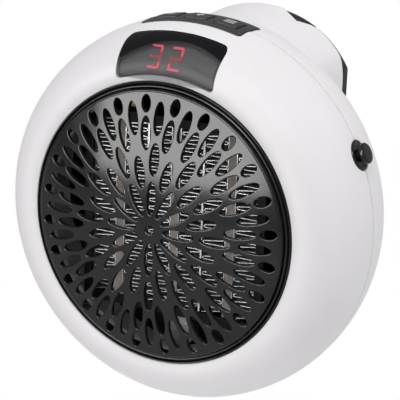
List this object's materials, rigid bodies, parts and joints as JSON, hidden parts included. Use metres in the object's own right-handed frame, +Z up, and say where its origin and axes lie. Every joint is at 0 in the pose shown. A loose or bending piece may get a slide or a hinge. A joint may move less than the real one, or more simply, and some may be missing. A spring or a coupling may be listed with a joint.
{
  "type": "plug-in fan heater",
  "caption": "Round wall-socket fan heater: two-part shell, domed slotted grille over a PTC block, display, key strip, side power switch and a swivelling rear plug.",
  "frame": {"origin": "centre of the plug's face, which lies against the wall socket", "axes": "+Y towards the wall and out along the pins, +Z up, +X to the right as seen from the room"},
  "size_m": [0.165, 0.1304, 0.1658],
  "materials": {
    "shell_white": "semi-gloss moulded ABS",
    "gloss_black": "glossy moulded plastic",
    "matt_black": "fine matt moulding",
    "dark_moulding": "heat-proof moulding",
    "smoked_lens": "polished smoked acrylic",
    "panel_grey": "satin moulded plastic",
    "circuit_board": "green solder mask",
    "fin_aluminium": "bright rolled foil",
    "ptc_tan": "insulating wrap",
    "bright_steel": "zinc-plated",
    "contact_brass": "stamped strip",
    "plated_pin": "nickel-plated brass",
    "blue_case": "potted power module case"
  },
  "bodies": {
    "plug": {"plug_dial": "matt_black", "plug_insert": "matt_black", "plug_pin_left": "plated_pin", "plug_pin_right": "plated_pin", "slip_ring_inner": "contact_brass", "slip_ring_outer": "contact_brass", "retaining_ring": "dark_moulding"},
    "housing": {"front_shell": "shell_white", "rear_shell": "shell_white", "trim_ring": "gloss_black", "front_grille": "gloss_black", "display_lens": "smoked_lens", "display_module": "dark_moulding", "display_board": "circuit_board", "button_panel": "panel_grey", "key_board": "circuit_board", "tact_switch_left": "dark_moulding", "tact_switch_middle": "dark_moulding", "tact_switch_right": "dark_moulding", "switch_bezel": "gloss_black", "switch_body": "dark_moulding", "fin_end_plate_1": "fin_aluminium", "fin_end_plate_2": "fin_aluminium", "fin_separator_1": "fin_aluminium", "fin_separator_2": "fin_aluminium", "heater_fin_1": "fin_aluminium", "heater_fin_2": "fin_aluminium", "heater_fin_3": "fin_aluminium", "heater_fin_4": "fin_aluminium", "heater_fin_5": "fin_aluminium", "heater_fin_6": "fin_aluminium", "ptc_bar_1": "ptc_tan", "ptc_bar_2": "ptc_tan", "ptc_bar_3": "ptc_tan", "heater_frame": "dark_moulding", "heater_terminal_left": "contact_brass", "heater_terminal_right": "contact_brass", "thermal_cutout": "bright_steel", "fan_shroud": "matt_black", "motor": "bright_steel", "control_board": "circuit_board", "relay": "matt_black", "power_module": "blue_case", "capacitor": "dark_moulding", "contact_leaf_inner": "contact_brass", "contact_leaf_outer": "contact_brass", "housing_screw_1": "bright_steel", "housing_screw_2": "bright_steel", "housing_screw_3": "bright_steel", "frame_screw_1": "bright_steel", "frame_screw_2": "bright_steel", "frame_screw_3": "bright_steel", "frame_screw_4": "bright_steel"},
    "fan": {"fan_impeller": "matt_black", "motor_shaft": "bright_steel"},
    "minus_key": {"key_minus": "panel_grey"},
    "plus_key": {"key_plus": "panel_grey"},
    "mode_key": {"key_mode": "panel_grey"},
    "power_cap": {"power_button": "gloss_black"}
  },
  "joints": [
    {"name": "plug_swivel", "type": "hinge", "parent": "plug", "child": "housing", "pos_m": [0, 0, 0], "axis": [0, 1, 0], "range_deg": [-90, 90]},
    {"name": "fan_spin", "type": "hinge", "parent": "housing", "child": "fan", "pos_m": [0, -0.06, -0.0319], "axis": [0, 1, 0], "continuous": true},
    {"name": "minus_press", "type": "slide", "parent": "housing", "child": "minus_key", "axis": [0, 0, -1], "range_m": [0, 0.0005], "stiffness_N_per_m": 2000, "springref_m": -0.0005},
    {"name": "plus_press", "type": "slide", "parent": "housing", "child": "plus_key", "axis": [0, 0, -1], "range_m": [0, 0.0005], "stiffness_N_per_m": 2000, "springref_m": -0.0005},
    {"name": "mode_press", "type": "slide", "parent": "housing", "child": "mode_key", "axis": [0, 0, -1], "range_m": [0, 0.0005], "stiffness_N_per_m": 2000, "springref_m": -0.0005},
    {"name": "power_press", "type": "slide", "parent": "housing", "child": "power_cap", "axis": [-0.9048, 0, -0.4258], "range_m": [0, 0.0018], "stiffness_N_per_m": 1000, "springref_m": -0.001}
  ]
}
